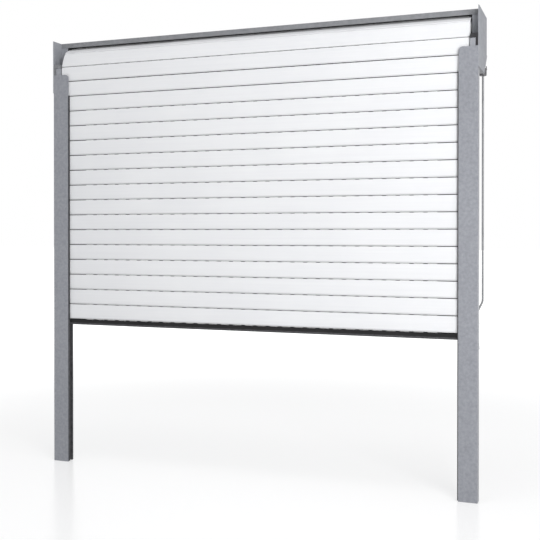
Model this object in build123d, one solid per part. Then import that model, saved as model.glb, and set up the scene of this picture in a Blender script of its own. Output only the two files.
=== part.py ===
from build123d import *
import math
import os

# Exterior roller shutter, two thirds down, with its front cover off.
# Millimetres. X runs along the width, -Y faces the street, +Z is up.
# The origin is under the middle of the whole shutter, at the level of the rails' feet.

# Overall sizes
overall_width = 1105
overall_height = 1107
box_size = 137
bevel_size = 44
plate_thickness = 2
panel_thickness = 1.2
top_panel_setback = 38
cover_rail_thickness = 1.2
cover_rail_clearance = 0.8
bottom_panel_setback = 24
bottom_panel_lip = 4
rim_width = 12
rim_thickness = 2

# Guide rails
rail_width = 43
rail_depth = 22
rail_wall = 1.6
rail_overlap = 47
rail_chamber_width = 15
rail_lip = 2.6
rail_corner_radius = 9
rail_notch_clearance = 1.5
rail_relief = 0.4
rail_relief_gap = 0.5
seal_overhang = 2.2
seal_reach = 3.5
seal_clearance = 0.35
seal_end_gap = 2
seal_top_gap = 55
foot_height = 18
foot_clearance = 0.3
fixing_hole_radius = 2.75
fixing_access_radius = 5.5
fixing_foot_margin = 130
fixing_top_margin = 187

# End plate tongues and inlet guides
tongue_width = 12.5
tongue_rise = 18
tongue_stem = 42
tongue_clearance = 0.4
tongue_front = 2
tongue_web_front = 10
inlet_arm_height = 10
inlet_arm_width = 4.5
inlet_front = 1
inlet_clearance = 0.3
flange_clearance = 1

# Slats
slat_pitch = 39
slat_count = 17
slat_thickness = 8.5
slat_skin = 0.6
slat_bow = 1.3
slat_back_bow = 0.8
slat_side_gap = 20.5
joint_bead_radius = 1.3
joint_clearance = 0.3
joint_socket_wall = 1.1
joint_neck = 1.2
body_bottom_gap = 1.9
body_top_gap = 3.1
skirt_drop = 1.2
slot_length = 22
slot_height = 1.4
slot_pitch = 32
slot_margin = 60
socket_front_angle = 30
socket_back_angle = 80
lock_length = 1.5
lock_stem = 12
lock_fit = 0.1

# End slat
end_slat_height = 17
end_slat_thickness = 8.8
end_slat_wall = 1.4
end_seal_height = 5
seal_neck_width = 2.6
seal_head_width = 5
seal_head_height = 2.2
glide_length = 2.5
glide_stem = 14

# Barrel
barrel_flats = 60
barrel_wall = 1
roll_back_clearance = 8.55
roll_top_clearance = 4.55
barrel_end_gap = 27.5
roll_step = 11.3
spiral_rounds = 10
cap_depth = 30
cap_flange = 2.5
cap_clearance = 0.3
idler_pin_radius = 6
drive_shaft_radius = 7
drive_shaft_end_gap = 4
strap_width = 20
strap_thickness = 0.8
strap_spread = 400
strap_sweep_angle = 70
strap_gap = 0.1

# Idler bracket
bearing_radius = 13
bearing_width = 7
bearing_clearance = 0.05
bracket_size = 46
bracket_base = 3
bracket_boss_wall = 3
bracket_height = 12

# Gear
housing_wall = 2
housing_width = 16
housing_reach = 24
wheel_radius = 16.2
wheel_width = 8
wheel_teeth = 20
wheel_tooth_depth = 1.6
worm_radius = 4
worm_length = 26
worm_thread_depth = 1
worm_threads = 6
mesh_gap = 0.3
gear_clearance = 0.8
shaft_radius = 3
shaft_clearance = 0.1
outlet_hole_clearance = 3
outlet_plate_width = 20
outlet_plate_length = 46
outlet_plate_thickness = 2.5
outlet_boss_radius = 6.5
outlet_boss_height = 7
screw_head_radius = 3.2
screw_head_height = 1.8
screw_radius = 1.8
screw_hole_clearance = 0.1
screw_inset = 5
screw_slot_width = 0.9
screw_slot_depth = 0.8

# Crank
joint_reach = 26
ball_radius = 6
ball_neck_radius = 2.8
ball_neck_length = 11
ball_clearance = 0.3
hood_radius = 8.5
hood_drop = 15
hood_rise = 5
hood_opening_angle = 75
swivel_pin_radius = 1.6
swivel_pin_head = 0.7
cheek_width = 8
cheek_rise = 7
crank_rod_radius = 2.5
crank_head_radius = 4.2
crank_head_height = 2
crank_head_drop = 11
crank_rod_length = 550
crank_arm_reach = 92
crank_arm_drop = 25
crank_arm_angle = 2.5
crank_bend_radius = 9
crank_pin_length = 80
grip_radius = 9
grip_waist = 7.5
grip_length = 72
grip_end_round = 2.5
grip_clearance = 0.1
grip_float = 0.5
pin_button_radius = 5
pin_button_height = 2.5

overrun = 1

# Places that follow from the sizes above, measured from the origin.
# The roll touches the curtain's plane in front and keeps its clearance to the back panel.
half_thickness = slat_thickness / 2
curtain_depth = rail_depth / 2
roll_room = box_size - panel_thickness - roll_back_clearance
barrel_from_front = (roll_room - half_thickness + curtain_depth) / 2
roll_radius = barrel_from_front - curtain_depth
roll_top = overall_height - panel_thickness - roll_top_clearance
axis_height = roll_top - half_thickness - roll_radius
box_bottom = overall_height - box_size
wheel_to_worm = wheel_radius + mesh_gap + worm_radius
shaft_side = overall_width / 2 - plate_thickness - housing_width / 2


def along_shaft(distance):
    """Steps back and down when moving that far along the worm shaft, away from the box."""
    return distance * math.sqrt(0.5)


# The shaft lies at 45 degrees behind the barrel's axis and leaves the box through the bevel.
worm_from_front = barrel_from_front + along_shaft(wheel_to_worm)
worm_height = axis_height + along_shaft(wheel_to_worm)
bevel_line = box_bottom - (box_size - bevel_size)
exit_from_front = (worm_from_front + worm_height - bevel_line) / 2
exit_height = exit_from_front + bevel_line
joint_from_front = exit_from_front + along_shaft(joint_reach)
joint_height = exit_height - along_shaft(joint_reach)
shaft_inner_length = math.dist((worm_from_front, worm_height), (exit_from_front, exit_height))

front = -(joint_from_front + hood_radius) / 2
plate_inside = overall_width / 2 - plate_thickness
rail_outside = plate_inside
rail_inside = rail_outside - rail_width
rail_top = box_bottom + rail_overlap
channel_end = rail_outside - rail_chamber_width
roll_reach = roll_radius + half_thickness
roll_behind_rail = barrel_from_front - rail_depth
notch_height = axis_height - math.sqrt(roll_reach**2 - roll_behind_rail**2) - rail_notch_clearance
roll_behind_cover_rail = barrel_from_front - top_panel_setback
cover_rail_room = roll_reach + cover_rail_clearance
cover_rail_foot = axis_height + math.sqrt(cover_rail_room**2 - roll_behind_cover_rail**2)
slat_half_length = plate_inside - slat_side_gap
end_gap_inner = slat_half_length + rim_thickness
inlet_top = rail_top + tongue_rise + inlet_clearance + inlet_arm_height
barrel_half_length = plate_inside - barrel_end_gap
first_joint_height = axis_height - slat_count * slat_pitch


def block(x_range, y_range, z_range):
    """A box between two corners; y is counted back from the shutter's front plane."""
    sizes = [high - low for low, high in (x_range, y_range, z_range)]
    corner = Pos(x_range[0], front + y_range[0], z_range[0])
    return corner * Box(*sizes, align=(Align.MIN, Align.MIN, Align.MIN))


def rod_x(radius, x_from, x_to, depth, height):
    """A cylinder along X."""
    place = Plane(origin=(x_from, front + depth, height), x_dir=(0, 1, 0), z_dir=(1, 0, 0))
    return place * Cylinder(radius, x_to - x_from, align=(Align.CENTER, Align.CENTER, Align.MIN))


def rod_y(radius, side, height, depth_from, depth_to):
    """A cylinder along Y."""
    place = Plane(origin=(side, front + depth_from, height), x_dir=(1, 0, 0), z_dir=(0, 1, 0))
    return place * Cylinder(radius, depth_to - depth_from, align=(Align.CENTER, Align.CENTER, Align.MIN))


def prism_x(points, x_from, x_to):
    """A straight prism along X; the points are depth behind the front plane and height."""
    face = make_face(Polyline([(depth, height) for depth, height in points], close=True))
    place = Plane(origin=(x_from, front, 0), x_dir=(0, 1, 0), z_dir=(1, 0, 0))
    return extrude(place * face, amount=x_to - x_from)


def mirrored(shape):
    return mirror(shape, about=Plane.YZ)


def both_sides(shape):
    return Compound([shape, mirrored(shape)])


def save(shape, name):
    export_step(shape, f"parts/{name}.step")


# Worm shaft frame: Z points along the shaft out of the box, X along the shutter's width
def shaft_plane(distance):
    """The plane across the shaft at a distance outside the bevel's face."""
    depth = front + exit_from_front + along_shaft(distance)
    height = exit_height - along_shaft(distance)
    return Plane(origin=(shaft_side, depth, height), x_dir=(1, 0, 0), z_dir=(0, 1, -1))


def on_shaft(radius, start, end):
    """A cylinder round the shaft's axis between two distances from the bevel's face."""
    return shaft_plane(start) * Cylinder(radius, end - start, align=(Align.CENTER, Align.CENTER, Align.MIN))


# Box
def box_outline(inset):
    """The end plate's outline moved inwards, all but its front edge."""
    corner = inset * math.tan(math.radians(45) / 2)
    return [
        (0, box_bottom + inset),
        (box_size - bevel_size - corner, box_bottom + inset),
        (box_size - inset, box_bottom + bevel_size + corner),
        (box_size - inset, overall_height - inset),
        (0, overall_height - inset),
    ]


def tongue():
    """The cast lug that the plate sets into the top of the rail's outer chamber."""
    stem_gap = rail_wall + tongue_clearance
    stem_side = (channel_end + rail_wall + tongue_clearance, rail_outside - stem_gap)
    stem_depth = (stem_gap, rail_depth - stem_gap)
    stem = block(stem_side, stem_depth, (rail_top - tongue_stem, rail_top))
    head_side = (end_gap_inner, end_gap_inner + tongue_width)
    head_height = (rail_top, rail_top + tongue_rise)
    head = block(head_side, (tongue_front, rail_depth - tongue_front), head_height)
    web_depth = (tongue_web_front, rail_depth - tongue_front)
    web = block((head_side[1], plate_inside), web_depth, head_height)
    return stem + head + web


def end_plate():
    """Right end plate: sheet, inner rim that carries the panels, front flange and tongue."""
    sheet = prism_x(box_outline(0), plate_inside, overall_width / 2)
    rim_outer = prism_x(box_outline(panel_thickness), plate_inside - rim_width, plate_inside)
    rim_inner = prism_x(
        box_outline(panel_thickness + rim_thickness), plate_inside - rim_width - overrun, plate_inside
    )
    front_zone = block(
        (plate_inside - rim_width - overrun, plate_inside),
        (-overrun, top_panel_setback),
        (box_bottom, overall_height),
    )
    flange = block(
        (end_gap_inner, plate_inside),
        (top_panel_setback, top_panel_setback + rim_thickness),
        (inlet_top + flange_clearance, overall_height - panel_thickness),
    )
    return sheet + (rim_outer - rim_inner - front_zone) + flange + tongue()


def screw_places(half_depth, half_height, centre_depth, centre_height):
    return [
        (centre_depth + side * half_depth, centre_height + level * half_height)
        for side in (-1, 1)
        for level in (-1, 1)
    ]


def plate_screw(seat, depth, height):
    """A slotted screw along X from a flange into the right end plate."""
    head = rod_x(screw_head_radius, seat - screw_head_height, seat, depth, height)
    shank = rod_x(screw_radius, seat, overall_width / 2 - plate_thickness / 2, depth, height)
    slot = block(
        (seat - screw_head_height - overrun, seat - screw_head_height + screw_slot_depth),
        (depth - screw_head_radius, depth + screw_head_radius),
        (height - screw_slot_width / 2, height + screw_slot_width / 2),
    )
    return head + shank - slot


def plate_holes(places, reach):
    holes = [
        rod_x(screw_radius + screw_hole_clearance, plate_inside - reach, overall_width / 2 + overrun, *place)
        for place in places
    ]
    return holes


housing_low = barrel_from_front - housing_reach
housing_high = worm_from_front + along_shaft(worm_length / 2 + worm_radius) + housing_wall
housing_bottom = axis_height - housing_reach
housing_top = worm_height + along_shaft(worm_length / 2 + worm_radius) + housing_wall
gear_screw_places = [
    (housing_low + screw_inset, housing_bottom + screw_inset),
    (housing_high - screw_inset, housing_bottom + screw_inset),
    (housing_low + screw_inset, housing_top - screw_inset),
    (housing_high - screw_inset, housing_top - screw_inset),
]
bracket_screw_offset = bracket_size / 2 - screw_inset
idler_screw_places = screw_places(
    bracket_screw_offset, bracket_screw_offset, barrel_from_front, axis_height
)


def make_box():
    shaft_way = on_shaft(shaft_radius + outlet_hole_clearance, -shaft_inner_length / 2, joint_reach)
    plain_plate = end_plate()
    save(plain_plate - shaft_way - plate_holes(gear_screw_places, 0), "end_plate_right")
    save(mirrored(plain_plate - plate_holes(idler_screw_places, 0)), "end_plate_left")

    span = (-plate_inside, plate_inside)
    under_top = overall_height - panel_thickness
    save(block(span, (top_panel_setback, box_size), (under_top, overall_height)), "top_panel")

    # The strip that the front cover hooks on stands on the plates' front flanges
    strip_depth = (top_panel_setback - cover_rail_thickness, top_panel_setback)
    save(block(span, strip_depth, (cover_rail_foot, overall_height)), "cover_rail")

    behind = (box_size - panel_thickness, box_size)
    save(block(span, behind, (box_bottom + bevel_size, under_top)), "back_panel")

    slant = panel_thickness * math.sqrt(2)
    bevel_foot = box_size - bevel_size
    bevel = prism_x(
        [
            (bevel_foot, box_bottom),
            (box_size, box_bottom + bevel_size),
            (box_size - slant, box_bottom + bevel_size),
            (bevel_foot - slant, box_bottom),
        ],
        *span,
    )
    save(bevel - shaft_way, "bevel_panel")

    over_bottom = box_bottom + panel_thickness
    bottom = block(span, (bottom_panel_setback, bevel_foot - slant), (box_bottom, over_bottom))
    lip_depth = (bottom_panel_setback, bottom_panel_setback + panel_thickness)
    lip_side = (-plate_inside + rim_width, plate_inside - rim_width)
    lip = block(lip_side, lip_depth, (over_bottom, over_bottom + bottom_panel_lip))
    save(bottom + lip, "bottom_panel")


# Guide rails
def fixing_heights():
    return [fixing_foot_margin, rail_top - fixing_top_margin]


def guide_rail():
    """Right rail: a closed outer chamber for the fixings and an open channel for the curtain.

    Inside the box the channel's rear wall stops short of the roll, and the back face is set in.
    """
    rail = block((rail_inside, rail_outside), (0, rail_depth), (0, rail_top))
    length = (-overrun, rail_top + overrun)
    inner_depth = (rail_wall, rail_depth - rail_wall)
    chamber = block((channel_end + rail_wall, rail_outside - rail_wall), inner_depth, length)
    channel = block((rail_inside + rail_wall, channel_end), inner_depth, length)
    mouth_depth = (rail_wall + rail_lip, rail_depth - rail_wall - rail_lip)
    mouth = block((rail_inside - overrun, rail_inside + rail_wall), mouth_depth, length)
    rail = rail - chamber - channel - mouth
    for height in fixing_heights():
        hole = rod_x(fixing_hole_radius, channel_end + rail_wall, rail_outside + overrun, curtain_depth, height)
        access = rod_x(fixing_access_radius, channel_end - overrun, channel_end + rail_wall, curtain_depth, height)
        rail = rail - hole - access
    notch = block(
        (rail_inside - overrun, channel_end), (curtain_depth, rail_depth + overrun), (notch_height, rail_top + overrun)
    )
    relief = block(
        (rail_inside - overrun, rail_outside + overrun),
        (rail_depth - rail_relief, rail_depth + overrun),
        (box_bottom - rail_relief_gap, rail_top + overrun),
    )
    rail = rail - notch - relief
    corner_block = block(
        (rail_inside - overrun, rail_inside + rail_corner_radius),
        (-overrun, rail_depth + overrun),
        (rail_top - rail_corner_radius, rail_top + overrun),
    )
    rounding = rod_y(
        rail_corner_radius,
        rail_inside + rail_corner_radius,
        rail_top - rail_corner_radius,
        -overrun,
        rail_depth + overrun,
    )
    return rail - (corner_block - rounding)


def lip_seal():
    """Dark strip that hooks round the front lip and bears towards the curtain."""
    surface = curtain_depth - slat_thickness / 2 - seal_clearance
    inner_lip = rail_wall + rail_lip
    height = (seal_end_gap, rail_top - seal_top_gap)
    fin = block((rail_inside - seal_overhang, rail_inside), (rail_wall, surface), height)
    under = block((rail_inside, rail_inside + seal_reach), (inner_lip, surface), height)
    key = block((rail_inside + rail_wall, rail_inside + seal_reach), (rail_wall, inner_lip), height)
    return fin + under + key


def rear_seal(shape):
    """The same strip on the rear lip."""
    middle = Plane(origin=(0, front + curtain_depth, 0), x_dir=(1, 0, 0), z_dir=(0, 1, 0))
    return mirror(shape, about=middle)


def rail_foot():
    gap = rail_wall + foot_clearance
    side = (channel_end + gap, rail_outside - gap)
    plug = block(side, (gap, rail_depth - gap), (0, foot_height))
    edges = plug.edges().filter_by(Axis.Z)
    plug = fillet(edges, foot_clearance * 2)
    core = block(
        (side[0] + rail_wall, side[1] - rail_wall),
        (gap + rail_wall, rail_depth - gap - rail_wall),
        (rail_wall, foot_height + overrun),
    )
    return plug - core


def inlet_guide():
    """Black guide that stands on the rail and wraps the tongue from above and outside."""
    inner = end_gap_inner
    outer = plate_inside - inlet_clearance
    arm_foot = rail_top + tongue_rise + inlet_clearance
    top_arm = block((inner, outer), (inlet_front, rail_depth - inlet_front), (arm_foot, inlet_top))
    web_gap = tongue_web_front - inlet_clearance
    side_arm = block((outer - inlet_arm_width, outer), (inlet_front, web_gap), (rail_top, arm_foot))
    guide = top_arm + side_arm
    lead_in = guide.edges().filter_by(Axis.Y).sort_by(Axis.Z)[-2:].sort_by(Axis.X)[0]
    return fillet(lead_in, inlet_arm_height / 2)


def make_rails():
    rail = guide_rail()
    save(rail, "guide_rail_right")
    save(mirrored(rail), "guide_rail_left")
    seal = lip_seal()
    seals = [seal, rear_seal(seal)]
    save(Compound(seals + [mirrored(strip) for strip in seals]), "rail_seals")
    save(both_sides(rail_foot()), "rail_feet")
    guide = inlet_guide()
    save(guide, "inlet_guide_right")
    save(mirrored(guide), "inlet_guide_left")


# Curtain. A slat's section is drawn about the joint below it: across is thickness, up is height.
body_top = slat_pitch - body_top_gap
body_middle = (body_bottom_gap + body_top) / 2
front_edge = -(half_thickness - slat_bow)
socket_radius = joint_bead_radius + joint_clearance + joint_socket_wall


def bowed_body(inset, low):
    """The slat's band above a low edge, bowed towards the street, its other edges moved in by an inset."""
    left = front_edge + inset
    right = half_thickness - inset
    high = body_top - inset
    face_bow = ThreePointArc((left, low), (-half_thickness + inset, body_middle), (left, high))
    back_bow = ThreePointArc((right, high), (right - slat_back_bow, body_middle), (right, low))
    over = Line((left, high), (right, high))
    under = Line((right, low), (left, low))
    return make_face([face_bow, over, back_bow, under])


def strip_section(across_range, up_range):
    """A rectangle in a section between two corners."""
    width = across_range[1] - across_range[0]
    height = up_range[1] - up_range[0]
    return Pos(across_range[0], up_range[0]) * Rectangle(width, height, align=(Align.MIN, Align.MIN))


def hook_section(joint, body_end):
    """Neck and bead that stand on a body and carry it in the next slat's socket."""
    neck = strip_section((-joint_neck / 2, joint_neck / 2), (body_end - slat_skin / 2, joint))
    bead = Pos(0, joint) * Circle(joint_bead_radius)
    return neck + bead


def slat_section():
    skirt = strip_section((front_edge, front_edge + slat_skin), (-skirt_drop, body_bottom_gap + slat_skin))
    socket = Circle(socket_radius)
    reach = socket_radius + joint_clearance
    rays = [
        (reach * math.sin(math.radians(angle)), -reach * math.cos(math.radians(angle)))
        for angle in (-socket_front_angle, 0, socket_back_angle / 2, socket_back_angle)
    ]
    opening = make_face(Polyline([(0, 0)] + rays, close=True))
    bore = Circle(joint_bead_radius + joint_clearance)
    band = bowed_body(0, body_bottom_gap)
    chamber = bowed_body(slat_skin, socket_radius + slat_skin)
    shell = band + skirt + socket - chamber - bore - opening
    return shell + hook_section(slat_pitch, body_top)


def section_solid(section, half_length):
    """Extrudes a section along X, centred, with its own origin on the X axis."""
    place = Plane(origin=(-half_length, 0, 0), x_dir=(0, 1, 0), z_dir=(1, 0, 0))
    return extrude(place * section, amount=half_length * 2)


def neck_slots(joint):
    """The row of narrow slots through a neck below the given joint."""
    usable = (slat_half_length - slot_margin) * 2
    count = int(usable // slot_pitch)
    slot_middle = joint - body_top_gap + joint_clearance / 2 + slot_height / 2
    slot = Box(slot_length, joint_neck * 2, slot_height)
    starts = -(count - 1) / 2 * slot_pitch
    return [Pos(starts + slot_pitch * i, 0, slot_middle) * slot for i in range(count)]


def make_slat():
    return section_solid(slat_section(), slat_half_length) - neck_slots(slat_pitch)


def hang(shape, height):
    """Moves a piece drawn about a joint to that joint in the flat curtain."""
    return Pos(0, front + curtain_depth, height) * shape


def slat_lock():
    """Plastic stop that fills the end of a slat's chamber and bears on the rail."""
    inset = slat_skin + lock_fit
    chamber = bowed_body(inset, socket_radius + inset)
    face = bowed_body(slat_skin / 2, body_bottom_gap + slat_skin / 2)
    stem_place = Plane(origin=(slat_half_length - lock_stem, 0, 0), x_dir=(0, 1, 0), z_dir=(1, 0, 0))
    stem = extrude(stem_place * chamber, amount=lock_stem)
    face_place = Plane(origin=(slat_half_length, 0, 0), x_dir=(0, 1, 0), z_dir=(1, 0, 0))
    return stem + extrude(face_place * face, amount=lock_length)


def end_slat_section():
    half = end_slat_thickness / 2
    low = -end_slat_height + end_seal_height
    bar = strip_section((-half, half), (low, -body_top_gap))
    bar = fillet(bar.vertices().sort_by(Axis.Y)[-2:], end_slat_wall)
    floor = low + end_slat_wall + seal_head_height + end_slat_wall
    hollow = strip_section((-half + end_slat_wall, half - end_slat_wall), (floor, -body_top_gap - end_slat_wall))
    groove_top = low + end_slat_wall + seal_head_height
    groove = strip_section((-seal_head_width / 2, seal_head_width / 2), (low + end_slat_wall, groove_top))
    mouth = strip_section((-seal_neck_width / 2, seal_neck_width / 2), (low, low + end_slat_wall))
    return bar - hollow - groove - mouth + hook_section(0, -body_top_gap)


def end_seal_section():
    low = -end_slat_height + end_seal_height
    fit = lock_fit
    head = strip_section(
        (-seal_head_width / 2 + fit, seal_head_width / 2 - fit),
        (low + end_slat_wall + fit, low + end_slat_wall + seal_head_height - fit),
    )
    neck = strip_section((-seal_neck_width / 2 + fit, seal_neck_width / 2 - fit), (low, low + end_slat_wall + fit))
    half = end_slat_thickness / 2 - fit
    pad = strip_section((-half, half), (-end_slat_height, low))
    pad = fillet(pad.vertices().sort_by(Axis.Y)[:2], end_seal_height / 2 - fit)
    return head + neck + pad


def end_glide():
    """Plug in the end slat's hollow, with a head that runs in the rail."""
    half = end_slat_thickness / 2
    low = -end_slat_height + end_seal_height
    floor = low + end_slat_wall + seal_head_height + end_slat_wall
    section = strip_section(
        (-half + end_slat_wall + lock_fit, half - end_slat_wall - lock_fit),
        (floor + lock_fit, -body_top_gap - end_slat_wall - lock_fit),
    )
    stem_place = Plane(origin=(slat_half_length - glide_stem, 0, 0), x_dir=(0, 1, 0), z_dir=(1, 0, 0))
    head_place = Plane(origin=(slat_half_length, 0, 0), x_dir=(0, 1, 0), z_dir=(1, 0, 0))
    head = strip_section((-half, half), (low, -body_top_gap))
    head = fillet(head.vertices(), end_slat_wall)
    return extrude(stem_place * section, amount=glide_stem) + extrude(head_place * head, amount=glide_length)


def make_curtain(slat):
    lock = slat_lock()
    lock_pair = both_sides(lock)
    locks = []
    for number in range(slat_count):
        joint = first_joint_height + number * slat_pitch
        top_slat = number == slat_count - 1
        name = "payout_slat" if top_slat else f"slat_{number + 1:02d}"
        save(hang(slat, joint), name)
        if not top_slat:
            locks += hang(lock_pair, joint).solids()
    save(Compound(locks), "slat_locks")

    end_slat = section_solid(end_slat_section(), slat_half_length) - neck_slots(0)
    save(hang(end_slat, first_joint_height), "end_slat")
    seal = section_solid(end_seal_section(), slat_half_length)
    save(hang(seal, first_joint_height), "end_seal")
    save(hang(both_sides(end_glide()), first_joint_height), "end_glides")


# Roll: the slats lie as chords of a spiral that closes in by one roll_step each turn.
def spiral_radius(turned):
    """Radius of the joints after turning that many radians from the front."""
    return roll_radius - roll_step * turned / math.tau


def next_joint(here):
    """Where the spiral comes to one slat pitch further on, found by repeated correction."""
    ahead = here
    for _ in range(spiral_rounds):
        near = spiral_radius(here)
        far = spiral_radius(ahead)
        cosine = (near**2 + far**2 - slat_pitch**2) / (2 * near * far)
        ahead = here + math.acos(cosine)
    return ahead


def inner_face(here, ahead):
    """Least radius of a wound slat's inner face, at the middle of its chord."""
    radius = (spiral_radius(here) + spiral_radius(ahead)) / 2
    return radius * math.cos((ahead - here) / 2) - half_thickness


def roll_joints():
    """How far each joint has turned from the front, in radians, while slats clear the tube."""
    tube_corner = barrel_flats / 2 / math.cos(math.pi / 8)
    turned = [0.0]
    ahead = next_joint(turned[-1])
    while inner_face(turned[-1], ahead) > tube_corner:
        turned.append(ahead)
        ahead = next_joint(ahead)
    return turned


def roll_point(turned):
    """Depth and height of a point of the spiral."""
    radius = spiral_radius(turned)
    depth = barrel_from_front - radius * math.cos(turned)
    return depth, axis_height + radius * math.sin(turned)


def wound_slats(slat):
    joints = [roll_point(turned) for turned in roll_joints()]
    slats = []
    for (depth, height), (next_depth, next_height) in zip(joints, joints[1:]):
        lean = math.degrees(math.atan2(next_depth - depth, next_height - height))
        slats.append(Pos(0, front + depth, height) * Rot(-lean, 0, 0) * slat)
    return slats


def octagon(flats):
    return RegularPolygon(flats / 2, side_count=8, major_radius=False)


def on_barrel(section, x_from, x_to):
    place = Plane(origin=(x_from, front + barrel_from_front, axis_height), x_dir=(0, 1, 0), z_dir=(1, 0, 0))
    return extrude(place * section, amount=x_to - x_from)


def end_cap(stub_radius, stub_end):
    """Right end cap: a plug inside the tube, a flange over its end and a stub shaft."""
    plug_flats = barrel_flats - 2 * (barrel_wall + cap_clearance)
    plug = on_barrel(octagon(plug_flats), barrel_half_length - cap_depth, barrel_half_length)
    flange = on_barrel(octagon(barrel_flats), barrel_half_length, barrel_half_length + cap_flange)
    stub = on_barrel(Circle(stub_radius), barrel_half_length, stub_end)
    return plug + flange + stub


def hanging_strap(side):
    """Spring strap that lies on the tube and leads to the innermost slat."""
    inner = barrel_flats / 2 / math.cos(math.pi / 8) + strap_gap
    ring = Circle(inner + strap_thickness) - Circle(inner)
    start = math.degrees(roll_joints()[-1])
    reach = inner * 2
    rays = [
        (-reach * math.cos(math.radians(turn)), reach * math.sin(math.radians(turn)))
        for turn in (start, start + strap_sweep_angle / 2, start + strap_sweep_angle)
    ]
    sector = make_face(Polyline([(0, 0)] + rays, close=True))
    middle = side * strap_spread
    return on_barrel(ring & sector, middle - strap_width / 2, middle + strap_width / 2)


def worm_wheel():
    tooth_width = math.tau * wheel_radius / wheel_teeth / 2
    section = Circle(wheel_radius - wheel_tooth_depth)
    tooth = Rectangle(wheel_tooth_depth * 2, tooth_width)
    for place in PolarLocations(wheel_radius - wheel_tooth_depth, wheel_teeth):
        section += place * tooth
    section -= Circle(drive_shaft_radius)
    middle = shaft_side
    return on_barrel(section, middle - wheel_width / 2, middle + wheel_width / 2)


def make_barrel(slat):
    tube_section = octagon(barrel_flats) - octagon(barrel_flats - 2 * barrel_wall)
    save(on_barrel(tube_section, -barrel_half_length, barrel_half_length), "barrel_tube")
    save(end_cap(drive_shaft_radius, plate_inside - drive_shaft_end_gap), "drive_cap")
    save(mirrored(end_cap(idler_pin_radius, plate_inside - drive_shaft_end_gap)), "idler_cap")
    save(worm_wheel(), "worm_wheel")
    save(Compound([hanging_strap(side) for side in (-1, 0, 1)]), "hanging_straps")
    for number, wound_slat in enumerate(wound_slats(slat), start=1):
        save(wound_slat, f"wound_slat_{number:02d}")


# Bearing at the left and worm gear at the right
def idler_bracket():
    """Drawn at the right end, then mirrored: a square base with a boss for the bearing."""
    half = bracket_size / 2
    base = block(
        (plate_inside - bracket_base, plate_inside),
        (barrel_from_front - half, barrel_from_front + half),
        (axis_height - half, axis_height + half),
    )
    base = fillet(base.edges().filter_by(Axis.X), screw_inset)
    boss_radius = bearing_radius + bracket_boss_wall
    boss = rod_x(boss_radius, plate_inside - bracket_height, plate_inside, barrel_from_front, axis_height)
    seat = rod_x(
        bearing_radius,
        plate_inside - bracket_height - overrun,
        plate_inside - bracket_base,
        barrel_from_front,
        axis_height,
    )
    return base + boss - seat - plate_holes(idler_screw_places, bracket_base + overrun)


def bearing():
    """Outer ring, held by a thin web to the inner ring that the pin turns in."""
    start = plate_inside - bracket_height
    end = start + bearing_width
    outer = rod_x(bearing_radius, start, end, barrel_from_front, axis_height)
    bore = rod_x(
        idler_pin_radius + bearing_clearance, start - overrun, end + overrun, barrel_from_front, axis_height
    )
    track = (bearing_radius + idler_pin_radius) / 2
    groove_half = (bearing_radius - idler_pin_radius) / 4
    groove_depth = bearing_width / 4
    groove_rings = []
    for low in (start - overrun, end - groove_depth):
        high = low + groove_depth + overrun
        wide = rod_x(track + groove_half, low, high, barrel_from_front, axis_height)
        narrow = rod_x(track - groove_half, low, high, barrel_from_front, axis_height)
        groove_rings.append(wide - narrow)
    return outer - bore - groove_rings


def gear_housing():
    """Cast housing on the right end plate, hollow round the wheel and along the worm."""
    inner_face = plate_inside - housing_width
    shell = block((inner_face, plate_inside), (housing_low, housing_high), (housing_bottom, housing_top))
    shell = fillet(shell.edges().filter_by(Axis.X), screw_inset)
    room = wheel_radius + gear_clearance
    wheel_room = rod_x(room, inner_face + housing_wall, plate_inside + overrun, barrel_from_front, axis_height)
    shaft_bore = rod_x(
        drive_shaft_radius + shaft_clearance, inner_face - overrun, plate_inside, barrel_from_front, axis_height
    )
    worm_centre = -shaft_inner_length
    worm_room = on_shaft(
        worm_radius + gear_clearance,
        worm_centre - worm_length / 2 - gear_clearance,
        worm_centre + worm_length / 2 + gear_clearance,
    )
    way_out = on_shaft(shaft_radius + shaft_clearance, worm_centre, 0)
    holes = plate_holes(gear_screw_places, housing_width + overrun)
    return shell - wheel_room - shaft_bore - worm_room - way_out - holes


def worm_shaft():
    """Worm and shaft, in one piece."""
    worm_centre = -shaft_inner_length
    start = worm_centre - worm_length / 2
    core = on_shaft(worm_radius - worm_thread_depth, start, worm_centre + worm_length / 2)
    pitch = worm_length / worm_threads
    worm = core
    for number in range(worm_threads):
        ring_start = start + pitch * number + pitch / 4
        worm += on_shaft(worm_radius, ring_start, ring_start + pitch / 2)
    straight = on_shaft(shaft_radius, worm_centre, outlet_boss_height + outlet_plate_thickness)
    neck = on_shaft(ball_neck_radius, 0, joint_reach - ball_neck_length)
    return worm + straight + neck


def swivel_ball():
    """The ball on the shaft's end, which the crank's hood closes round."""
    neck = on_shaft(ball_neck_radius, joint_reach - ball_neck_length, joint_reach)
    return neck + shaft_plane(joint_reach) * Sphere(ball_radius)


def outlet_plate():
    plate = shaft_plane(0) * Box(
        outlet_plate_width,
        outlet_plate_length,
        outlet_plate_thickness,
        align=(Align.CENTER, Align.CENTER, Align.MIN),
    )
    across = shaft_plane(0).z_dir
    plate = fillet(plate.edges().filter_by(Axis((0, 0, 0), across)), screw_inset)
    boss = on_shaft(outlet_boss_radius, 0, outlet_plate_thickness + outlet_boss_height)
    bore = on_shaft(shaft_radius + shaft_clearance, -overrun, joint_reach)
    hole_spread = outlet_plate_length / 2 - screw_inset
    holes = [
        shaft_plane(0)
        * Pos(0, side * hole_spread, -overrun)
        * Cylinder(
            screw_radius + screw_hole_clearance,
            outlet_plate_thickness + overrun * 2,
            align=(Align.CENTER, Align.CENTER, Align.MIN),
        )
        for side in (-1, 1)
    ]
    return plate + boss - bore - holes


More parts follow.
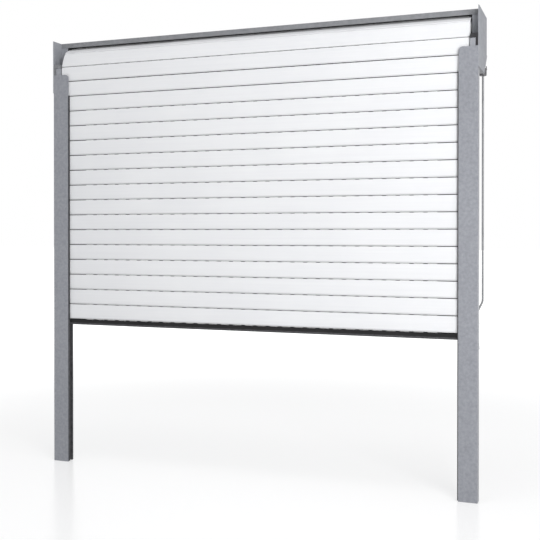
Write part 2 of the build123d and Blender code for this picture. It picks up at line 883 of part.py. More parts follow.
def outlet_screws():
    """Two slotted screws that hold the outlet plate on the bevel."""
    hole_spread = outlet_plate_length / 2 - screw_inset
    up = (Align.CENTER, Align.CENTER, Align.MIN)
    head = Pos(0, 0, outlet_plate_thickness) * Cylinder(screw_head_radius, screw_head_height, align=up)
    shank = Cylinder(screw_radius, outlet_plate_thickness, align=up)
    slot_floor = outlet_plate_thickness + screw_head_height - screw_slot_depth
    slot = Pos(0, 0, slot_floor) * Box(screw_head_radius * 2, screw_slot_width, screw_head_height, align=up)
    screw = head + shank - slot
    return [shaft_plane(0) * Pos(0, side * hole_spread, 0) * screw for side in (-1, 1)]


def make_drive():
    save(mirrored(idler_bracket()), "idler_bracket")
    save(mirrored(bearing()), "idler_bearing")
    idler_seat = plate_inside - bracket_base
    idler_screws = [plate_screw(idler_seat, *place) for place in idler_screw_places]
    save(mirrored(Compound(idler_screws)), "idler_screws")
    save(gear_housing(), "gear_housing")
    housing_seat = plate_inside - housing_width
    housing_screws = [plate_screw(housing_seat, *place) for place in gear_screw_places]
    save(Compound(housing_screws + outlet_screws()), "drive_screws")
    save(worm_shaft(), "worm_shaft")
    save(swivel_ball(), "swivel_ball")
    save(outlet_plate(), "outlet_plate")


# Crank, drawn about the swivel joint's centre
def at_joint(shape):
    return Pos(shaft_side, front + joint_from_front, joint_height) * shape


def joint_hood():
    """Fork and cup round the ball on two side pins, open above so that the crank can swing into the room."""
    up = (Align.CENTER, Align.CENTER, Align.MIN)
    cup = Pos(0, 0, -hood_drop) * Cylinder(hood_radius, hood_drop + hood_rise, align=up)
    cup = fillet(cup.edges().sort_by(Axis.Z)[0], hood_radius / 4)
    pin_reach = hood_radius + swivel_pin_head
    pin_place = Plane(origin=(-pin_reach, 0, 0), x_dir=(0, 1, 0), z_dir=(1, 0, 0))
    cup += pin_place * Cylinder(swivel_pin_radius, pin_reach * 2, align=up)
    cavity = Sphere(ball_radius + ball_clearance)
    cone_height = hood_rise + overrun
    cone_radius = cone_height * math.tan(math.radians(hood_opening_angle))
    opening = Cone(0, cone_radius, cone_height, align=up)
    head_room = Pos(0, 0, -crank_head_drop - ball_clearance) * Cylinder(
        crank_head_radius + ball_clearance, crank_head_height + ball_clearance * 2, align=up
    )
    rod_way = Pos(0, 0, -hood_drop - overrun) * Cylinder(
        crank_rod_radius + grip_clearance, hood_drop - crank_head_drop + overrun, align=up
    )
    cheek_inner = ball_radius + ball_clearance * 2
    cheek = Pos(cheek_inner, 0, 0) * Box(
        hood_radius - cheek_inner, cheek_width, cheek_rise, align=(Align.MIN, Align.CENTER, Align.MIN)
    )
    return cup - cavity - opening - head_room - rod_way + cheek + mirrored(cheek)


def crank_side(reach):
    """Sideways and forward parts of a reach along the bent arm."""
    turn = math.radians(crank_arm_angle)
    return -reach * math.sin(turn), -reach * math.cos(turn)


arm_foot_height = -crank_rod_length - crank_arm_drop


def crank_rod():
    sideways, forward = crank_side(crank_arm_reach)
    top = -crank_head_drop
    corners = [
        (0, 0, top),
        (0, 0, -crank_rod_length),
        (sideways, forward, arm_foot_height),
        (sideways, forward, arm_foot_height - crank_pin_length),
    ]
    path = FilletPolyline(*corners, radius=crank_bend_radius)
    tube = sweep(Plane(origin=corners[0], x_dir=(1, 0, 0), z_dir=(0, 0, -1)) * Circle(crank_rod_radius), path=path)
    up = (Align.CENTER, Align.CENTER, Align.MIN)
    head = Pos(0, 0, top) * Cylinder(crank_head_radius, crank_head_height, align=up)
    button_place = Pos(sideways, forward, corners[-1][2] - pin_button_height)
    button = button_place * Cylinder(pin_button_radius, pin_button_height, align=up)
    return tube + head + button


def grip():
    """Waisted grip on the crank's pin."""
    sideways, forward = crank_side(crank_arm_reach)
    foot = arm_foot_height - crank_pin_length + grip_float
    top = foot + grip_length
    middle = (foot + top) / 2
    bore = crank_rod_radius + grip_clearance
    inner = Line((bore, foot), (bore, top))
    upper = Line((bore, top), (grip_radius - grip_end_round, top))
    upper_round = ThreePointArc(
        upper @ 1,
        (grip_radius - grip_end_round * (1 - math.sqrt(0.5)), top - grip_end_round * (1 - math.sqrt(0.5))),
        (grip_radius, top - grip_end_round),
    )
    waist = ThreePointArc(upper_round @ 1, (grip_waist, middle), (grip_radius, foot + grip_end_round))
    lower_round = ThreePointArc(
        waist @ 1,
        (grip_radius - grip_end_round * (1 - math.sqrt(0.5)), foot + grip_end_round * (1 - math.sqrt(0.5))),
        (grip_radius - grip_end_round, foot),
    )
    lower = Line(lower_round @ 1, (bore, foot))
    profile = make_face([inner, upper, upper_round, waist, lower_round, lower])
    return Pos(sideways, forward, 0) * revolve(Plane.XZ * profile, axis=Axis.Z)


def make_crank():
    save(at_joint(joint_hood()), "joint_hood")
    save(at_joint(crank_rod()), "crank_rod")
    save(at_joint(grip()), "crank_grip")


os.makedirs("parts", exist_ok=True)
one_slat = make_slat()
make_box()
make_rails()
make_curtain(one_slat)
make_barrel(one_slat)
make_drive()
make_crank()
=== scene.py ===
# %% [markdown]
# # Exterior roller shutter with a crank drive
#
# The shutter is seen from the street, two thirds down, with the front cover of its box off,
# so that the roll of slats shows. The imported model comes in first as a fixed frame. Its solids
# keep their places; this script gives them edges, finishes and the small pieces that a solid
# model leaves plain. Everything is in metres, X along the width, -Y to the street, Z up.

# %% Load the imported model
import math

import bpy
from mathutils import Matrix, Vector


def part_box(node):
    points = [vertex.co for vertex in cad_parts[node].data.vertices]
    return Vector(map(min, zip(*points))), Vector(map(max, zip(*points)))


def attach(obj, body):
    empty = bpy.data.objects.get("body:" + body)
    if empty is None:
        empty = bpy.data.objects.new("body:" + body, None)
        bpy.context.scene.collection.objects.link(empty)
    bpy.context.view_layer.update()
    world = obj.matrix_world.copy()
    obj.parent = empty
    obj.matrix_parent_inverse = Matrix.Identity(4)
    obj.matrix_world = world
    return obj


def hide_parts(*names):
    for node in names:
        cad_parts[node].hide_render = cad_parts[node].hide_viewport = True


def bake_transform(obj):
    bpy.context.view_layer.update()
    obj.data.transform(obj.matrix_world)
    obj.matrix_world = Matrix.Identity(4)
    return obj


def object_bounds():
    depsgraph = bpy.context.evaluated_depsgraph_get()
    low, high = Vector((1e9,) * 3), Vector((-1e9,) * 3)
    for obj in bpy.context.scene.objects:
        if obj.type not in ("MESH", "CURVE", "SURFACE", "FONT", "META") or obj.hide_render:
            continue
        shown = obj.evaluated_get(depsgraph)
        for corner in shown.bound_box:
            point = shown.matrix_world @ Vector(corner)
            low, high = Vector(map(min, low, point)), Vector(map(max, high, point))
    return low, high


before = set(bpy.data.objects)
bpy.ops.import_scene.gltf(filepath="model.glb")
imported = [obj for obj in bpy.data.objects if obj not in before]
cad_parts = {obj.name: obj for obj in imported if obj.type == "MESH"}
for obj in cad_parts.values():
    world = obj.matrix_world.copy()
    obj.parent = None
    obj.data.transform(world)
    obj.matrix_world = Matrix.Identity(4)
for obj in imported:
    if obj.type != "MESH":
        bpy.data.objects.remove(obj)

cad_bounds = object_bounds()
print("solids:", len(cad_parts), "box:", [round(side, 4) for side in cad_bounds[1] - cad_bounds[0]])

# %% [markdown]
# ## Camera
#
# A camera is set by where it stands, where it looks and how long its lens is. Here the slat
# joints, one pitch apart, give the lens and the distance: they lie closer together the further
# they are from the eye. The eye stands right of the right rail, at about half height, and looks
# left. Upright edges stay upright in the picture, so the camera is all but level, and the
# picture is moved with a small shift instead of a tilt.

# %% Camera
eye = Vector((0.8145, -2.1097, 0.601))
degrees_from_straight_down = 89.61
degrees_to_the_left = 20.41
lens_millimetres = 60.02
picture_shift = -0.057

camera_data = bpy.data.cameras.new("camera")
camera_data.sensor_width = 36
camera_data.lens = lens_millimetres
camera_data.shift_y = picture_shift
camera = bpy.data.objects.new("camera", camera_data)
bpy.context.collection.objects.link(camera)
camera.location = eye
camera.rotation_euler = (math.radians(degrees_from_straight_down), 0, math.radians(degrees_to_the_left))
bpy.context.scene.camera = camera
bpy.context.scene.view_settings.view_transform = "Standard"
shutter_middle = (cad_bounds[0] + cad_bounds[1]) / 2
print("camera stands", round((eye - shutter_middle).length, 2), "m from the shutter")

# %% [markdown]
# ## Shader nodes
#
# A material or a world is a graph of nodes: each has settings, and inputs that hold a value or
# take what another node gives. One helper makes a node and fills its inputs, so that every
# graph below reads as a list of what goes into what.

# %% Node helper
def add_node(tree, kind, inputs, **settings):
    """A node of that kind; an input that is given another node's output is linked to it."""
    node = tree.nodes.new(kind)
    for setting, value in settings.items():
        setattr(node, setting, value)
    for place, value in inputs.items():
        if isinstance(value, bpy.types.NodeSocket):
            tree.links.new(value, node.inputs[place])
        else:
            node.inputs[place].default_value = value
    return node


# %% [markdown]
# ## Studio
#
# A catalogue picture of a shutter is lit by large soft lamps and cut out on white. One broad
# lamp from the front right makes the slats fade from light to grey towards the left, a weaker
# one overhead drops a soft shadow on the floor, and the pale room fills the rest. The white
# behind the object is only there for rays that come straight from the camera or from a
# mirror-like surface, so it doesn't add light to the object.

# %% Room
room_colour = (0.97, 0.98, 1.0, 1)
room_strength = 0.42
plain_white = (1, 1, 1, 1)


def sees_white(tree):
    """1 for camera, glossy and transmission rays, 0 for the rays that light the object."""
    ray = add_node(tree, "ShaderNodeLightPath", {})
    total = ray.outputs["Is Camera Ray"]
    for kind in ("Is Glossy Ray", "Is Transmission Ray"):
        either = add_node(tree, "ShaderNodeMath", {0: total, 1: ray.outputs[kind]}, operation="MAXIMUM")
        total = either.outputs[0]
    return total


world = bpy.data.worlds.new("room")
world.use_nodes = True
bpy.context.scene.world = world
room = world.node_tree
room_light = room.nodes["Background"]
room_light.inputs["Color"].default_value = room_colour
room_light.inputs["Strength"].default_value = room_strength
white = add_node(room, "ShaderNodeBackground", {"Color": plain_white})
either_room = add_node(
    room, "ShaderNodeMixShader", {"Fac": sees_white(room), 1: room_light.outputs[0], 2: white.outputs[0]}
)
room.links.new(either_room.outputs[0], room.nodes["World Output"].inputs["Surface"])
print("room light:", room_strength)

# %% Lamps
def soft_lamp(name, place, target, size, power):
    """A broad rectangular lamp at a place, turned to its target."""
    lamp_data = bpy.data.lights.new(name, "AREA")
    lamp_data.shape = "RECTANGLE"
    lamp_data.size, lamp_data.size_y = size
    lamp_data.energy = power
    lamp = bpy.data.objects.new(name, lamp_data)
    bpy.context.collection.objects.link(lamp)
    lamp.location = place
    lamp.rotation_euler = (Vector(target) - Vector(place)).to_track_quat("-Z", "Y").to_euler()
    print("lamp:", name, power, "W")


soft_lamp("key", place=(1.85, -2.35, 0.95), target=(0.15, 0, 0.6), size=(1.4, 1.6), power=56)
soft_lamp("top", place=(0.25, -0.55, 3.0), target=(0.05, 0.05, 0), size=(1.5, 0.7), power=12)

# %% [markdown]
# ## Floor
#
# The floor is a plain pale sheet that catches a soft shadow and a faint mirror image of the
# rails' feet. It could be one plane with a white material, but its far edge would show against
# the white behind it. So a share of what the camera sees is white of its own: under two fifths
# near the shutter, where the shadow has to show, and all of it far away.

# %% Floor
floor_side = 60
below_the_feet = 0.0005
fade_from, fade_to = 0.9, 3.5
white_share_near = 0.38
own_white_strength = 1.4
floor_colour = (0.9, 0.9, 0.9, 1)
floor_roughness = 0.2

bpy.ops.object.select_all(action="DESELECT")
bpy.ops.mesh.primitive_plane_add(size=floor_side, location=(0, 0, -below_the_feet))
floor = bpy.context.object
floor.name = "floor"
floor_finish = bpy.data.materials.new("pale floor")
floor_finish.use_nodes = True
floor_tree = floor_finish.node_tree
lacquer = floor_tree.nodes["Principled BSDF"]
lacquer.inputs["Base Color"].default_value = floor_colour
lacquer.inputs["Roughness"].default_value = floor_roughness
own_white = add_node(
    floor_tree, "ShaderNodeEmission", {"Color": plain_white, "Strength": own_white_strength}
)
floor_place = add_node(floor_tree, "ShaderNodeTexCoord", {})
from_middle = add_node(
    floor_tree, "ShaderNodeVectorMath", {0: floor_place.outputs["Object"]}, operation="LENGTH"
)
fade = add_node(
    floor_tree,
    "ShaderNodeMapRange",
    {
        "Value": from_middle.outputs["Value"],
        "From Min": fade_from,
        "From Max": fade_to,
        "To Min": white_share_near,
        "To Max": 1,
    },
    interpolation_type="SMOOTHSTEP",
)
share = add_node(
    floor_tree,
    "ShaderNodeMath",
    {0: sees_white(floor_tree), 1: fade.outputs["Result"]},
    operation="MULTIPLY",
)
floor_mix = add_node(
    floor_tree,
    "ShaderNodeMixShader",
    {"Fac": share.outputs[0], 1: lacquer.outputs[0], 2: own_white.outputs[0]},
)
floor_tree.links.new(floor_mix.outputs[0], floor_tree.nodes["Material Output"].inputs["Surface"])
floor.data.materials.append(floor_finish)
print("floor fades to white from", fade_from, "to", fade_to, "m")

# %% [markdown]
# ## Making finishes
#
# A finish is a shader whose colour, roughness and tiny relief change a little from place to
# place. Each helper adds one such change: a pattern, a tint that follows it, a roughness that
# follows it, or a relief. The patterns read Object coordinates, in metres, and every piece has
# its place in its mesh, so a grain runs on from piece to piece and has its real size. A stretch
# below 1 draws the grain out along that axis.

# %% Finish helpers
def finish(name, metallic=0.0, specular=0.5):
    made = bpy.data.materials.new(name)
    made.use_nodes = True
    shader = made.node_tree.nodes["Principled BSDF"]
    shader.inputs["Metallic"].default_value = metallic
    shader.inputs["Specular IOR Level"].default_value = specular
    return made


def shader_input(made, name):
    return made.node_tree.nodes["Principled BSDF"].inputs[name]


def object_place(made):
    return add_node(made.node_tree, "ShaderNodeTexCoord", {}).outputs["Object"]


def noise(made, per_metre, stretch=(1, 1, 1), detail=3):
    """Soft patches, so many in a metre."""
    turn = add_node(made.node_tree, "ShaderNodeMapping", {"Vector": object_place(made), "Scale": stretch})
    patches = {"Vector": turn.outputs["Vector"], "Scale": per_metre, "Detail": detail}
    return add_node(made.node_tree, "ShaderNodeTexNoise", patches).outputs[0]


def cells(made, per_metre):
    """Grains with a centre each, so many in a metre."""
    grains = {"Vector": object_place(made), "Scale": per_metre}
    return add_node(made.node_tree, "ShaderNodeTexVoronoi", grains).outputs[0]


def spread(made, value, low, high, start=0.3, end=0.7):
    """A number that goes from low to high as the pattern goes from start to end."""
    limits = {"Value": value, "From Min": start, "From Max": end, "To Min": low, "To Max": high}
    return add_node(made.node_tree, "ShaderNodeMapRange", limits).outputs["Result"]


# %% Tint, roughness and relief
no_tint = (1, 1, 1)


def tint(made, value, dark, light, start=0.3, end=0.7):
    """The base colour follows the pattern from a dark to a light tone, over what is there already."""
    tree = made.node_tree
    tones = {"A": (*dark, 1), "B": (*light, 1), "Factor": spread(made, value, 0, 1, start, end)}
    tone = add_node(tree, "ShaderNodeMix", tones, data_type="RGBA")
    base = shader_input(made, "Base Color")
    if base.is_linked:
        layers = {"A": base.links[0].from_socket, "B": tone.outputs["Result"], "Factor": 1}
        tone = add_node(tree, "ShaderNodeMix", layers, data_type="RGBA", blend_type="MULTIPLY")
    else:
        base.default_value = (*light, 1)
    tree.links.new(tone.outputs["Result"], base)


def roughen(made, value, low, high):
    """The roughness follows the pattern between the two values."""
    roughness = shader_input(made, "Roughness")
    roughness.default_value = (low + high) / 2
    made.node_tree.links.new(spread(made, value, low, high), roughness)


def relief(made, value, depth, strength=1.0):
    """Bumps of a depth in metres, on top of any that are there."""
    normal = shader_input(made, "Normal")
    bumps = {"Height": value, "Distance": depth, "Strength": strength}
    if normal.is_linked:
        bumps["Normal"] = normal.links[0].from_socket
    bump = add_node(made.node_tree, "ShaderNodeBump", bumps)
    made.node_tree.links.new(bump.outputs["Normal"], normal)


# %% [markdown]
# ## White enamel on the slats
#
# A slat is roll-formed from painted aluminium strip and filled with foam. The paint is a thin
# stove enamel: nearly even, with faint long streaks from the rolls and a very fine orange peel.
# Rain leaves a grey veil in soft patches. The patches are a low, wide noise; the streaks are the
# same noise drawn out along the slat.

# %% Slat enamel
def slat_enamel(name):
    paint = finish(name, specular=0.3)
    veil = noise(paint, per_metre=7, detail=5)
    tint(paint, veil, dark=(0.79, 0.795, 0.81), light=(0.82, 0.825, 0.835))
    roll_marks = noise(paint, per_metre=260, stretch=(0.02, 1, 1))
    tint(paint, roll_marks, dark=(0.975, 0.975, 0.98), light=no_tint)
    roughen(paint, noise(paint, per_metre=90, stretch=(0.2, 1, 1)), low=0.36, high=0.5)
    orange_peel = noise(paint, per_metre=1400, detail=2)
    relief(paint, roll_marks, depth=0.00004, strength=0.5)
    relief(paint, orange_peel, depth=0.00002, strength=0.6)
    return paint


enamel = slat_enamel("white enamel")
print("finish:", enamel.name)

# %% [markdown]
# ## Dirt and painted shade in the slat joints
#
# Between two slats lies a narrow groove where they hook together. Soot and grease from the
# hinge gather there and little light gets in, so from a few steps away each joint is a thin
# dark line. That line is painted into the enamel's colour: partly soot, partly painted shade
# for the groove. The groove lies closer to the curtain's middle plane than the slats' faces do,
# so the distance from that plane tells where the painted soot and shade go.

# %% Sooty joints with painted shade
# Painted shade and soot: the joints' dark colour stands partly for dirt, partly for the shade in the
# groove.
soot_and_shade = (0.015, 0.015, 0.016)
shaded_sooty_to = 0.0028
clean_unshaded_from = 0.00298
curtain_plane = sum(side.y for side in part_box("slat_10")) / 2

sooty_shaded_joint_enamel = slat_enamel("white enamel, sooty joints in painted shade")
joint_tree = sooty_shaded_joint_enamel.node_tree
sides = add_node(joint_tree, "ShaderNodeSeparateXYZ", {0: object_place(sooty_shaded_joint_enamel)})
off_plane = add_node(
    joint_tree, "ShaderNodeMath", {0: sides.outputs["Y"], 1: curtain_plane}, operation="SUBTRACT"
)
distance = add_node(joint_tree, "ShaderNodeMath", {0: off_plane.outputs[0]}, operation="ABSOLUTE")
tint(sooty_shaded_joint_enamel, distance.outputs[0], dark=soot_and_shade, light=no_tint, start=shaded_sooty_to, end=clean_unshaded_from)
print("finish:", sooty_shaded_joint_enamel.name, "around y", round(curtain_plane, 4))

# %% [markdown]
# ## Coated aluminium of the rails
#
# The rails are extrusions with a grey powder coat that has a little metal in it. It looks
# mottled: soft blotches under a centimetre across, over a fine grain. Three noises of different
# size, one multiplied over the other, give that, and the coat's grain is a fourth in relief.

# %% Rail coating
rail_coat = finish("grey metallic coat", metallic=0.35)
blotches = noise(rail_coat, per_metre=150, detail=4)
tint(rail_coat, blotches, dark=(0.255, 0.263, 0.29), light=(0.318, 0.328, 0.358))
fine_grain = noise(rail_coat, per_metre=900, detail=2)
tint(rail_coat, fine_grain, dark=(0.9, 0.9, 0.9), light=no_tint)
haze = noise(rail_coat, per_metre=9)
tint(rail_coat, haze, dark=(0.96, 0.96, 0.965), light=no_tint)
roughen(rail_coat, noise(rail_coat, per_metre=160), low=0.3, high=0.46)
relief(rail_coat, noise(rail_coat, per_metre=1800, detail=2), depth=0.00003, strength=0.7)
print("finish:", rail_coat.name)

# %% [markdown]
# ## Painted sheet of the box
#
# The box panels are sheet with a satin grey paint. Sheet shows long faint waves from the
# rolling mill, seen only in its gloss, and dust gathers in a slow pattern. The end plates are
# cast and painted a shade lighter. Inside, coil-coated sheet has only a light primer, and its
# pale tone is also painted light: it stands in for the light that the closed box keeps out.

# %% Box paints
gloss_swing = 0.08


def box_paint(name, dark, light, roughness):
    paint = finish(name, metallic=0.1, specular=0.4)
    dust = noise(paint, per_metre=90, detail=4)
    tint(paint, dust, dark, light)
    fine_grain = noise(paint, per_metre=700, detail=2)
    tint(paint, fine_grain, dark=(0.94, 0.94, 0.94), light=no_tint)
    mill_waves = noise(paint, per_metre=50, stretch=(0.3, 1, 1))
    roughen(paint, mill_waves, low=roughness - gloss_swing, high=roughness + gloss_swing)
    relief(paint, noise(paint, per_metre=1500, detail=2), depth=0.00003, strength=0.6)
    print("finish:", name)
    return paint


plate_paint = box_paint("end plate paint", (0.29, 0.3, 0.327), (0.35, 0.36, 0.387), roughness=0.58)
panel_paint = box_paint("panel paint", (0.2, 0.205, 0.217), (0.25, 0.255, 0.27), roughness=0.48)
# The pale inner tone is partly primer, partly painted light for the inside of the box, which the lamps
# barely reach.
primer_and_painted_light = box_paint("light primer inside the box, partly painted light", (0.6, 0.6, 0.6), (0.68, 0.68, 0.675), roughness=0.6)

# %% [markdown]
# ## Rubber and plastics
#
# Small pieces tell their material by gloss. Rubber is dark and dull, with a fine bloom.
# Moulded plastic has a leathery grain, a pattern of cells, and its gloss is uneven.

# %% Seal rubber
rubber = finish("seal rubber", specular=0.3)
bloom = noise(rubber, per_metre=120, detail=4)
tint(rubber, bloom, dark=(0.045, 0.045, 0.048), light=(0.085, 0.085, 0.09))
roughen(rubber, noise(rubber, per_metre=300), low=0.6, high=0.85)
relief(rubber, noise(rubber, per_metre=2200, detail=2), depth=0.00005)
print("finish:", rubber.name)

# %% Mouldings
def moulding(name, dark, light, blotches, gloss_patches, gloss, leather, specular=0.5):
    """Moulded plastic, with the number of blotches, gloss patches and grains in a metre."""
    plastic = finish(name, specular=specular)
    tint(plastic, noise(plastic, blotches), dark, light)
    roughen(plastic, noise(plastic, gloss_patches), *gloss)
    relief(plastic, cells(plastic, leather), depth=0.00004)
    print("finish:", name)
    return plastic


black_plastic = moulding(
    "black moulding", (0.015, 0.014, 0.017), (0.027, 0.026, 0.03),
    blotches=200, gloss_patches=500, gloss=(0.38, 0.56), leather=1600, specular=0.35,
)
grey_plastic = moulding(
    "grey moulding", (0.165, 0.17, 0.18), (0.23, 0.235, 0.245),
    blotches=180, gloss_patches=420, gloss=(0.38, 0.55), leather=1500,
)
dark_grey_plastic = moulding(
    "dark grey moulding", (0.09, 0.09, 0.095), (0.15, 0.15, 0.155),
    blotches=260, gloss_patches=500, gloss=(0.34, 0.52), leather=1600,
)

# %% [markdown]
# ## Metals and thin coats
#
# Zinc shows spangles, which are cells of slightly different grey. Brass is warm, with turning
# marks. The end slat has a black coat with faint streaks along it, and the crank a thin grey
# one with streaks along its rod.

# %% Zinc and brass
zinc = finish("zinc plate", metallic=0.85)
spangles = cells(zinc, per_metre=240)
tint(zinc, spangles, dark=(0.29, 0.3, 0.31), light=(0.42, 0.43, 0.445), start=0.1, end=0.8)
roughen(zinc, spangles, low=0.24, high=0.42)
relief(zinc, noise(zinc, per_metre=900), depth=0.00002)

brass = finish("turned brass", metallic=1.0)
turning_marks = (1, 0.1, 0.1)
tint(brass, noise(brass, per_metre=120), dark=(0.5, 0.34, 0.12), light=(0.66, 0.47, 0.2))
roughen(brass, noise(brass, per_metre=2000, stretch=turning_marks), low=0.22, high=0.4)
relief(brass, noise(brass, per_metre=2600, stretch=turning_marks), depth=0.00002)
print("finishes:", zinc.name, "and", brass.name)

# %% Black and grey coats
black_coat = finish("black coat", metallic=0.1, specular=0.2)
streaks = noise(black_coat, per_metre=60, stretch=(0.2, 1, 1))
tint(black_coat, streaks, dark=(0.01, 0.01, 0.011), light=(0.02, 0.019, 0.02))
roughen(black_coat, noise(black_coat, per_metre=240, stretch=(0.1, 1, 1)), low=0.36, high=0.52)
relief(black_coat, noise(black_coat, per_metre=1800, detail=2), depth=0.00003)

rod_coat = finish("grey rod coat", metallic=0.2)
streaks = noise(rod_coat, per_metre=140, stretch=(1, 1, 0.2))
tint(rod_coat, streaks, dark=(0.22, 0.225, 0.235), light=(0.3, 0.305, 0.315))
roughen(rod_coat, noise(rod_coat, per_metre=700, stretch=(1, 1, 0.1)), low=0.3, high=0.48)
relief(rod_coat, noise(rod_coat, per_metre=1600), depth=0.00002)
print("finishes:", black_coat.name, "and", rod_coat.name)

# %% [markdown]
# ## Finishes on the solids
#
# Each solid gets the finish of its real material. The slats of the flat curtain have joints
# with painted soot and shade; those on the roll stay plain, since the mask only knows the
# curtain's plane.

# %% Finishes on the solids
flat_slats = [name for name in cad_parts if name.startswith("slat_") and name != "slat_locks"]
wound_slats = [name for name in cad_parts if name.startswith("wound_slat_")]
panels = ["top_panel", "back_panel", "bevel_panel", "bottom_panel"]
finished = [
    (enamel, wound_slats),
    (sooty_shaded_joint_enamel, flat_slats + ["payout_slat"]),
    (rail_coat, ["guide_rail_left", "guide_rail_right"]),
    (plate_paint, ["end_plate_left", "end_plate_right"]),
    (panel_paint, panels + ["cover_rail"]),
    (rubber, ["rail_seals", "end_seal"]),
    (black_plastic, ["rail_feet", "inlet_guide_right", "slat_locks", "end_glides"]),
    (dark_grey_plastic, ["joint_hood"]),
    (grey_plastic, ["idler_bracket", "gear_housing", "idler_cap", "drive_cap", "inlet_guide_left"]),
    (zinc, ["idler_bearing", "idler_screws", "drive_screws", "outlet_plate"]),
    (zinc, ["worm_shaft", "swivel_ball", "hanging_straps", "barrel_tube"]),
    (brass, ["worm_wheel"]),
    (black_coat, ["end_slat"]),
    (rod_coat, ["crank_rod", "crank_grip"]),
]
finish_of = {name: made for made, names in finished for name in names}
for name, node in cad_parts.items():
    node.data.materials.clear()
    node.data.materials.append(finish_of[name])
print("solids with a finish:", len(finish_of), "of", len(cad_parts))

# %% [markdown]
# ## Rounded edges
#
# No real edge is perfectly sharp: an extrusion has small radii, sheet has a rolled edge and
# paint draws a soft line along both. Those radii catch the light, and without them a model
# looks cut from paper. The solid's mesh is never changed, so a copy is merged, its flat faces
# are joined again, and a Bevel modifier rounds what is left. The copy then stands for the solid.
# A Weighted Normal modifier then keeps the shading of each large face flat up to its rounded
# edge.

# %% Copy and round
merge_below = 0.000005
flat_within_degrees = 0.5


def only(piece):
    """That piece alone is selected and active."""
    bpy.ops.object.select_all(action="DESELECT")
    piece.select_set(True)
    bpy.context.view_layer.objects.active = piece


def merged_copy(node, name):
    """The node's shape as a new piece with its doubles merged and its flat faces whole."""
    piece = bpy.data.objects.new(name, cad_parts[node].data.copy())
    bpy.context.collection.objects.link(piece)
    only(piece)
    bpy.ops.mesh.customdata_custom_splitnormals_clear()
    bpy.ops.object.mode_set(mode="EDIT")
    bpy.ops.mesh.select_all(action="SELECT")
    bpy.ops.mesh.remove_doubles(threshold=merge_below)
    bpy.ops.mesh.dissolve_limited(angle_limit=math.radians(flat_within_degrees))
    bpy.ops.object.mode_set(mode="OBJECT")
    return piece


def soften(piece, radius, above_degrees, smooth_below_degrees):
    """Rounds the edges that turn by more than one angle and smooths the shading below another."""
    only(piece)
    edge = piece.modifiers.new("edge", "BEVEL")
    edge.width = radius
    edge.segments = 2
    edge.limit_method = "ANGLE"
    edge.angle_limit = math.radians(above_degrees)
    bpy.ops.object.modifier_apply(modifier="edge")
    bpy.ops.object.shade_smooth_by_angle(angle=math.radians(smooth_below_degrees))


# %% [markdown]
# ## Which solids get rounded copies
#
# The pieces whose square edges show most get one: rails, end plates and guides, then the
# panels, then the castings, the end slat and the crank's hood. On the box panels, the faces
# that look towards the roll get the pale primer, which is partly painted light.

# %% Rounded copy and primer with painted light
solid_bevel_degrees = 40
solid_smooth_degrees = 32
inward_cosine = 0.5


def rounded(node, radius, body):
    """A rounded copy that stands for the node."""
    piece = merged_copy(node, node + "_rounded")
    soften(piece, radius, solid_bevel_degrees, solid_smooth_degrees)
    flat_shading = piece.modifiers.new("flat faces", "WEIGHTED_NORMAL")
    flat_shading.keep_sharp = True
    flat_shading.weight = 100
    bpy.ops.object.modifier_apply(modifier="flat faces")
    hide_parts(node)
    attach(piece, body)
    return piece


def prime_and_paint_light_inside(panel, roll_axis):
    """Primer, partly painted light, on the panel's faces that look towards the roll."""
    panel.data.materials.append(primer_and_painted_light)
    for face in panel.data.polygons:
        towards_roll = roll_axis - face.center
        towards_roll.x = 0
        face.material_index = int(face.normal.dot(towards_roll.normalized()) > inward_cosine)


# %% Rails, plates, panels and castings
thin_edge = 0.0003
strip_edge = 0.0004
rail_edge = 0.0005
moulded_edge = 0.0006

for side in ("left", "right"):
    rounded(f"guide_rail_{side}", rail_edge, "frame")
    rounded(f"end_plate_{side}", thin_edge, "frame")
rounded("inlet_guide_left", moulded_edge, "frame")
rounded("inlet_guide_right", moulded_edge, "frame")
roll_middle = sum(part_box("barrel_tube"), Vector()) / 2
for name in panels:
    prime_and_paint_light_inside(rounded(name, thin_edge, "frame"), roll_middle)
rounded("cover_rail", thin_edge, "frame")
rounded("gear_housing", moulded_edge, "frame")
rounded("idler_bracket", moulded_edge, "frame")
rounded("outlet_plate", strip_edge, "frame")
rounded("end_slat", strip_edge, "curtain")
rounded("joint_hood", rail_edge, "swivel")

# %% [markdown]
# ## Slats that the roll pays out
#
# While the curtain goes down, slats leave the roll one by one. One slat of the solid model
# stands for all of them. Here each has its own copy: at rest they lie inside each other, each
# a hair smaller than the one before. The first copy is attached to the curtain.


# %% Paid-out slats
paid_out_count = 10
payout_middle = 1.0215
smaller_each_time = (0.0006, 0.004, 0.002)

for number in range(paid_out_count):
    paid_out = merged_copy("payout_slat", f"paid_out_slat_{number:02d}")
    bpy.ops.object.shade_smooth_by_angle(angle=math.radians(solid_smooth_degrees))
    if number == 0:
        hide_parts("payout_slat")
        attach(paid_out, "curtain")
        continue
    bpy.ops.object.mode_set(mode="EDIT")
    bpy.ops.mesh.select_all(action="SELECT")
    bpy.ops.transform.resize(
        value=[1 - less * number for less in smaller_each_time],
        center_override=(0, curtain_plane, payout_middle),
    )
    bpy.ops.object.mode_set(mode="OBJECT")
    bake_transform(paid_out)
print("paid-out slats:", paid_out_count)

# %% [markdown]
# ## Turned pieces
#
# The grip and its collar are round about the crank's pin. A turned piece could be spun from a
# half profile; here it grows from a disc instead: each step extrudes the top face by a height
# and scales it to the next radius, which is how one would do it by hand, and a bevel softens
# the rims.

# %% Turning helper
round_sides = 40
rim_radius = 0.0003
turned_bevel_degrees = 30
turned_smooth_degrees = 35


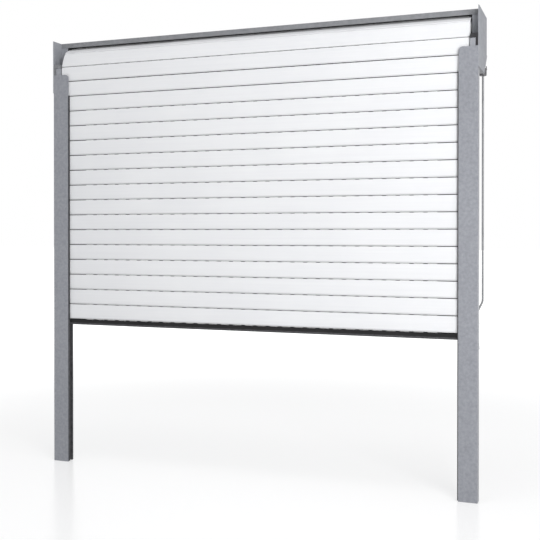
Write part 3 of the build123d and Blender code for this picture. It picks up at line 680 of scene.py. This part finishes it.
def turned(name, foot, first_radius, steps, made_of):
    """A round piece on a vertical axis, grown upwards from its foot in steps of (rise, radius)."""
    bpy.ops.object.select_all(action="DESELECT")
    bpy.ops.mesh.primitive_circle_add(
        vertices=round_sides, radius=first_radius, fill_type="NGON", location=foot
    )
    piece = bpy.context.object
    piece.name = name
    bpy.ops.object.transform_apply(location=True, rotation=False, scale=False)
    bpy.ops.object.mode_set(mode="EDIT")
    bpy.ops.mesh.select_all(action="SELECT")
    height, radius = foot[2], first_radius
    for rise, next_radius in steps:
        bpy.ops.mesh.extrude_region_move(TRANSFORM_OT_translate={"value": (0, 0, rise)})
        height += rise
        if next_radius != radius:
            ratio = next_radius / radius
            bpy.ops.transform.resize(value=(ratio, ratio, 1), center_override=(foot[0], foot[1], height))
            radius = next_radius
    bpy.ops.mesh.select_all(action="SELECT")
    bpy.ops.mesh.normals_make_consistent(inside=False)
    bpy.ops.object.mode_set(mode="OBJECT")
    piece.data.materials.append(made_of)
    soften(piece, rim_radius, turned_bevel_degrees, turned_smooth_degrees)
    return piece


# %% [markdown]
# ## Grip
#
# The grip is a moulded sleeve that spins on the crank's pin, waisted in the middle, with
# shallow rings that the fingers hold. Its size and place come from the solid that it stands
# for. Each ring is a short rise, a land, a short drop and a groove.

# %% Ringed grip
grip_low, grip_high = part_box("crank_grip")
grip_axis = ((grip_low.x + grip_high.x) / 2, (grip_low.y + grip_high.y) / 2)
grip_length = grip_high.z - grip_low.z
grip_radius = (grip_high.x - grip_low.x) / 2
collar_rises = (0.001, 0.003, 0.002)
collar_height = sum(collar_rises)
end_step = 0.002
foot_share, skirt_share, crown_share = 0.8, 0.97, 0.75
ring_count = 9
groove_depth = 0.0007
waist_share, flare_share = 0.84, 0.13
rise_share, land_share, drop_share, groove_share = 0.12, 0.66, 0.08, 0.14

ring_height = (grip_length - collar_height - 3 * end_step) / ring_count
grip_steps = [(end_step, grip_radius * skirt_share)] * 2
for number in range(ring_count):
    along = (number + 0.5) / ring_count * 2 - 1
    land_radius = grip_radius * (waist_share + flare_share * along * along)
    groove_radius = land_radius - groove_depth
    grip_steps += [(ring_height * rise_share, land_radius), (ring_height * land_share, land_radius)]
    grip_steps += [(ring_height * drop_share, groove_radius), (ring_height * groove_share, groove_radius)]
grip_steps.append((end_step, grip_radius * crown_share))
grip = turned("ringed_grip", (*grip_axis, grip_low.z), grip_radius * foot_share, grip_steps, rod_coat)
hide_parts("crank_grip")
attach(grip, "grip")
print("grip length:", round(grip_length, 4), "faces:", len(grip.data.polygons))

# %% [markdown]
# ## Collar
#
# A short dark collar keeps the grip in place at its top. It is a plain turned ring: a narrow
# foot, a band and a shoulder that slopes in to the pin.

# %% Grip collar
collar_place = (*grip_axis, grip_high.z - collar_height)
foot_radius, band_radius, shoulder_radius = grip_radius * 0.62, grip_radius * 0.72, grip_radius * 0.5
collar_steps = list(zip(collar_rises, (band_radius, band_radius, shoulder_radius)))
collar = turned("grip_collar", collar_place, foot_radius, collar_steps, black_plastic)
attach(collar, "grip")
print("collar radius:", round(band_radius, 4))
